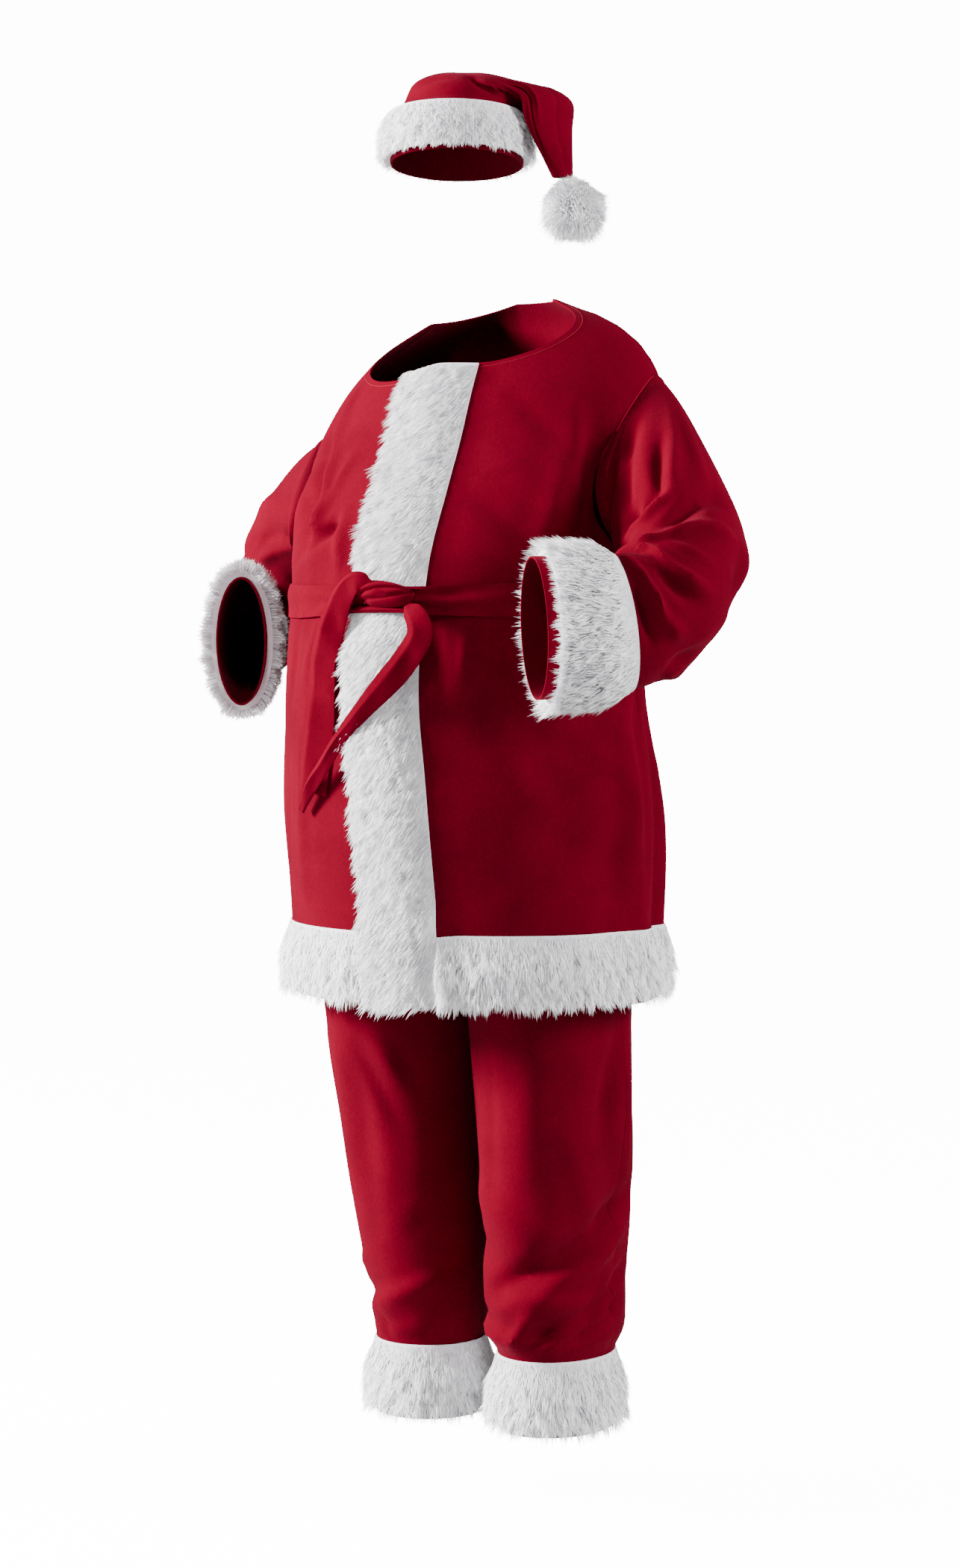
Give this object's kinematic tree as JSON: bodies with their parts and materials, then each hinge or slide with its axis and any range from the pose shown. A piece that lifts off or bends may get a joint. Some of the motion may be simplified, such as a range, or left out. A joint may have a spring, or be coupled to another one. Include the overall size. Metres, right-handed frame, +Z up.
{
  "type": "santa suit, worn, with nobody inside",
  "caption": "Red fleece santa suit with white fur trim: wrap jacket, tie belt, trousers and bobble hat, hollow and held in the pose in which it is worn.",
  "frame": {"origin": "base of the neck, where the shoulders carry the jacket, 1.500 m above the floor that the wearer stands on", "axes": "+Z up, -Y towards the front of the suit, +X towards the wearer's left"},
  "size_m": [0.777, 0.4788, 1.7107],
  "materials": {
    "red_fleece": "matt brushed fleece with a short soft nap",
    "belt_fleece": "matt brushed fleece, folded and stitched",
    "white_fur": "white long-pile faux fur"
  },
  "bodies": {
    "root": {"jacket_back": "red_fleece", "jacket_front_left": "red_fleece", "jacket_front_right": "red_fleece", "sleeve_left_upper": "red_fleece", "sleeve_left_lower": "red_fleece", "sleeve_right_upper": "red_fleece", "sleeve_right_lower": "red_fleece", "front_band": "white_fur", "hem_band_left": "white_fur", "hem_band_right": "white_fur", "hem_band_back": "white_fur", "cuff_band_left": "white_fur", "cuff_band_right": "white_fur", "belt_wrap": "belt_fleece", "belt_knot": "belt_fleece", "belt_tail_a": "belt_fleece", "belt_tail_b": "belt_fleece", "trouser_left_front": "red_fleece", "trouser_left_back": "red_fleece", "trouser_right_front": "red_fleece", "trouser_right_back": "red_fleece", "waistband": "red_fleece", "leg_band_left": "white_fur", "leg_band_right": "white_fur", "hat_front": "red_fleece", "hat_back": "red_fleece", "hat_band": "white_fur", "pompom": "white_fur"}
  },
  "joints": []
}
